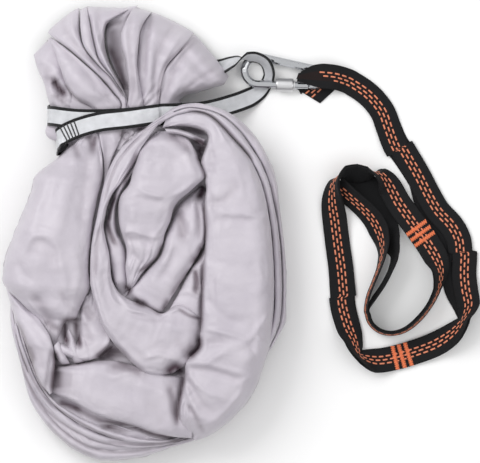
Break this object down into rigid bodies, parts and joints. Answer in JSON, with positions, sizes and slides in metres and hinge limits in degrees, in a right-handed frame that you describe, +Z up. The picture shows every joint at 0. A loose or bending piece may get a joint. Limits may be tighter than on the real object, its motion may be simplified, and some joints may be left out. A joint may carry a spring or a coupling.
{
  "type": "aerial hammock",
  "caption": "Aerial yoga hammock bundled for storage: gathered fabric choked by a webbing sling, with a screw-lock carabiner and a folded daisy-chain strap.",
  "frame": {"origin": "centre of the bounding box, on the floor that the bundle lies on", "axes": "+Z up; +X towards the strap, +Y towards the gathered head of the bundle"},
  "size_m": [0.5916, 0.57, 0.1032],
  "materials": {
    "lilac_tricot": "silver-lilac satin nylon tricot",
    "white_webbing": "white woven webbing with black edge threads",
    "black_thread": "black sewing thread",
    "bright_steel": "bright zinc-plated steel",
    "satin_steel": "satin zinc-plated steel",
    "black_webbing": "black woven polyester webbing, the lined one with three dashed orange threads",
    "orange_thread": "orange sewing thread"
  },
  "bodies": {
    "bundle": {"hammock_fabric": "lilac_tricot", "choker_sling": "white_webbing", "sling_bar_tack_1": "black_thread", "sling_bar_tack_2": "black_thread", "sling_bar_tack_3": "black_thread", "sling_bar_tack_4": "black_thread", "sling_bar_tack_5": "black_thread"},
    "carabiner": {"carabiner_body": "bright_steel", "gate_hinge_pin": "bright_steel"},
    "gate": {"gate": "bright_steel", "gate_latch_pin": "bright_steel", "sleeve_stop_ring": "bright_steel", "gate_spring": "bright_steel"},
    "sleeve": {"lock_sleeve": "satin_steel"},
    "plunger": {"gate_plunger": "bright_steel"},
    "strap": {"lined_loop_strap": "black_webbing", "plain_load_strap": "black_webbing", "side_bar_tack_1": "orange_thread", "side_bar_tack_2": "orange_thread", "side_bar_tack_3": "orange_thread", "base_bar_tack_1": "orange_thread", "base_bar_tack_2": "orange_thread", "base_bar_tack_3": "orange_thread"}
  },
  "joints": [
    {"name": "carabiner_lift", "type": "hinge", "parent": "bundle", "child": "carabiner", "pos_m": [0.00285, 0.20338, 0.00865], "axis": [-0.1245, -0.9922, 0], "range_deg": [0, 30], "deforming": ["choker_sling"]},
    {"name": "gate_swing", "type": "hinge", "parent": "carabiner", "child": "gate", "pos_m": [0.07997, 0.18241, 0.00865], "axis": [0, 0, -1], "range_deg": [0, 22], "stiffness_Nm_per_rad": 0.3, "springref_deg": -17.19},
    {"name": "sleeve_turn", "type": "hinge", "parent": "gate", "child": "sleeve", "pos_m": [0.05338, 0.18318, 0.00865], "axis": [-0.9996, 0.0288, 0], "range_deg": [0, 540]},
    {"name": "plunger_slide", "type": "slide", "parent": "gate", "child": "plunger", "axis": [-0.9996, 0.0288, 0], "range_m": [0, 0.00065], "deforming": ["gate_spring"]},
    {"name": "strap_lift", "type": "hinge", "parent": "carabiner", "child": "strap", "pos_m": [0.10227, 0.1909, 0.00865], "axis": [-0.1245, -0.9922, 0], "range_deg": [0, 35]}
  ],
  "couplings": [
    {"joint": "plunger_slide", "follows": "gate_swing", "m_per_rad": 0.00156}
  ]
}
